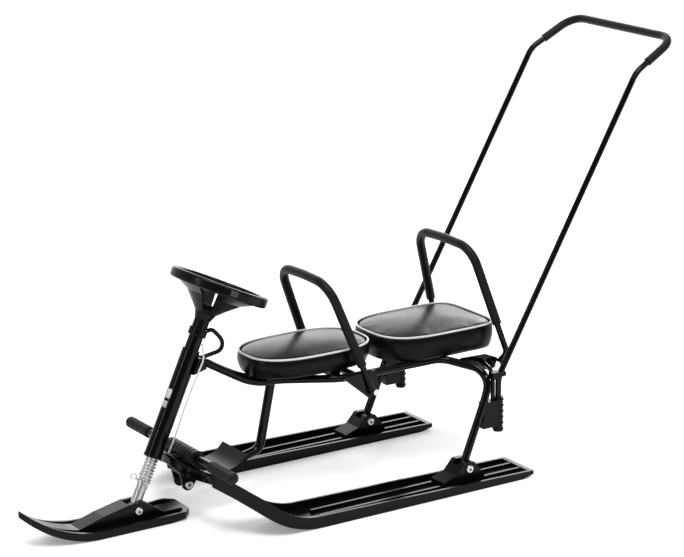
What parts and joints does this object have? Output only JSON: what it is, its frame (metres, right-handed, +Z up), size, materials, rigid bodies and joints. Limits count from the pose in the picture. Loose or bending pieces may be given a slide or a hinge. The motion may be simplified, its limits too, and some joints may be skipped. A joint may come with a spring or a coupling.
{
  "type": "two-seat sled stroller",
  "caption": "Snow sled stroller with a wheel-steered sprung front ski, rear skis, padded seats, hoops and a push handle.",
  "frame": {"origin": "middle of the whole sled's bounding box at floor level, the soles of the skis on Z = 0", "axes": "+X forward to the tip of the front ski, +Y to the rider's left, +Z up"},
  "size_m": [1.608, 0.51, 0.958],
  "materials": {
    "black_paint": "gloss black powder coat",
    "ski_plastic": "satin black moulded plastic",
    "dark_plastic": "grained dark plastic",
    "rubber_grip": "ribbed rubber",
    "foam": "fine foam sleeve",
    "vinyl": "black vinyl with a white piping",
    "board": "dark stained board",
    "zinc": "bright zinc plate",
    "bolt_steel": "plated bolts",
    "rope": "white braided cord"
  },
  "bodies": {
    "root": {"backbone_left": "black_paint", "backbone_right": "black_paint", "cross_tube": "black_paint", "foot_bar": "black_paint", "foot_grip_left": "rubber_grip", "foot_grip_right": "rubber_grip", "foot_pad": "rubber_grip", "front_strut": "black_paint", "front_yoke": "black_paint", "handle_clamp_left": "dark_plastic", "handle_clamp_right": "dark_plastic", "handle_grip": "foam", "handle_socket_left": "dark_plastic", "handle_socket_right": "dark_plastic", "handle_stay_left": "black_paint", "handle_stay_right": "black_paint", "head_bracket": "black_paint", "head_tube": "black_paint", "hoop_bolts": "bolt_steel", "hoop_front": "black_paint", "hoop_front_sleeve": "foam", "hoop_plate_front_left": "black_paint", "hoop_plate_front_right": "black_paint", "hoop_plate_rear_left": "black_paint", "hoop_plate_rear_right": "black_paint", "hoop_rear": "black_paint", "hoop_rear_sleeve": "foam", "keel_shield": "ski_plastic", "lower_bearing": "dark_plastic", "push_handle": "black_paint", "rear_ski_left": "ski_plastic", "rear_ski_right": "ski_plastic", "rope_hook": "black_paint", "seat_front_board": "board", "seat_front_pad": "vinyl", "seat_rails": "black_paint", "seat_rear_board": "board", "seat_rear_pad": "vinyl", "ski_bolt_left": "bolt_steel", "ski_bolt_right": "bolt_steel", "tow_bolt": "bolt_steel", "tow_bracket": "black_paint", "tow_rope": "rope", "upper_bearing": "dark_plastic"},
    "steering": {"steering_strut": "zinc", "front_spring": "zinc", "spring_washer": "zinc", "ring_pin": "zinc", "steering_column": "dark_plastic", "steering_wheel": "dark_plastic"},
    "front_ski_body": {"front_ski": "ski_plastic", "front_ski_bolt": "bolt_steel"}
  },
  "joints": [
    {"name": "steer", "type": "hinge", "parent": "root", "child": "steering", "pos_m": [0.5325, 0, 0.0332], "axis": [-0.4179, 0, 0.9085], "range_deg": [-30, 30]},
    {"name": "ski_pitch", "type": "hinge", "parent": "steering", "child": "front_ski_body", "pos_m": [0.5325, 0, 0.0332], "axis": [0, 1, 0], "range_deg": [-12, 12]}
  ]
}
